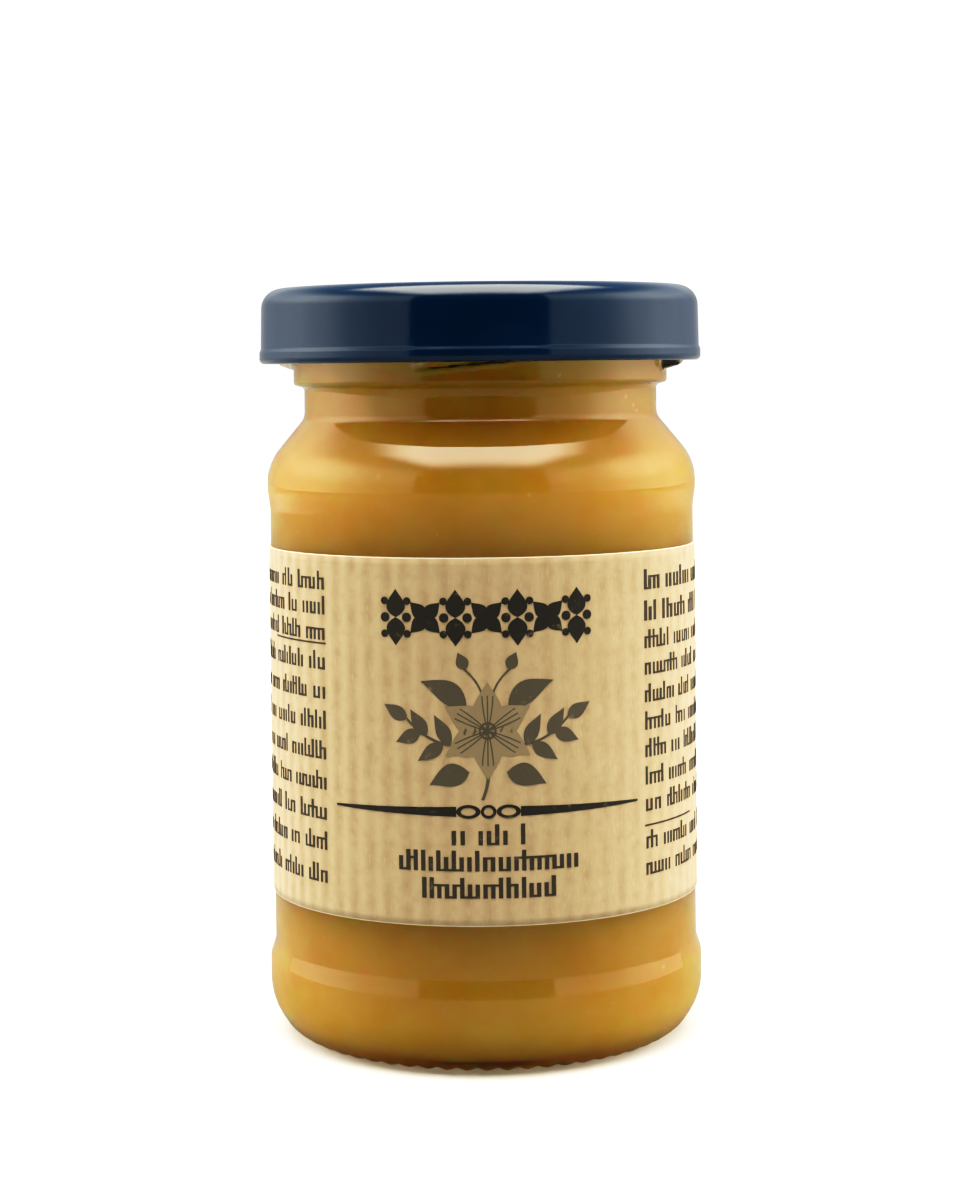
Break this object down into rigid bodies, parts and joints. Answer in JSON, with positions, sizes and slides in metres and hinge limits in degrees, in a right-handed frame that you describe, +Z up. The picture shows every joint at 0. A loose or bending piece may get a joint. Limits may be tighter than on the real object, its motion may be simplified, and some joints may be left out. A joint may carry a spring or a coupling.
{
  "type": "marmalade jar",
  "caption": "Small round glass jar filled with orange marmalade, shut with a dark blue twist-off lid and wrapped in a ribbed kraft paper label.",
  "frame": {"origin": "centre of the foot, on the surface the jar stands on", "axes": "+Z up along the jar's axis, -Y towards the front of the label, +X to the right seen from the front"},
  "size_m": [0.0504, 0.0504, 0.085],
  "materials": {
    "glass_jar": "clear polished glass",
    "marmalade": "cloudy orange preserve, moist and glossy",
    "lid": "dark blue gloss lacquer on pressed sheet steel",
    "label": "matt ribbed kraft paper"
  },
  "bodies": {
    "root": {"glass_jar": "glass_jar", "marmalade": "marmalade", "lid": "lid", "label": "label"}
  },
  "joints": []
}
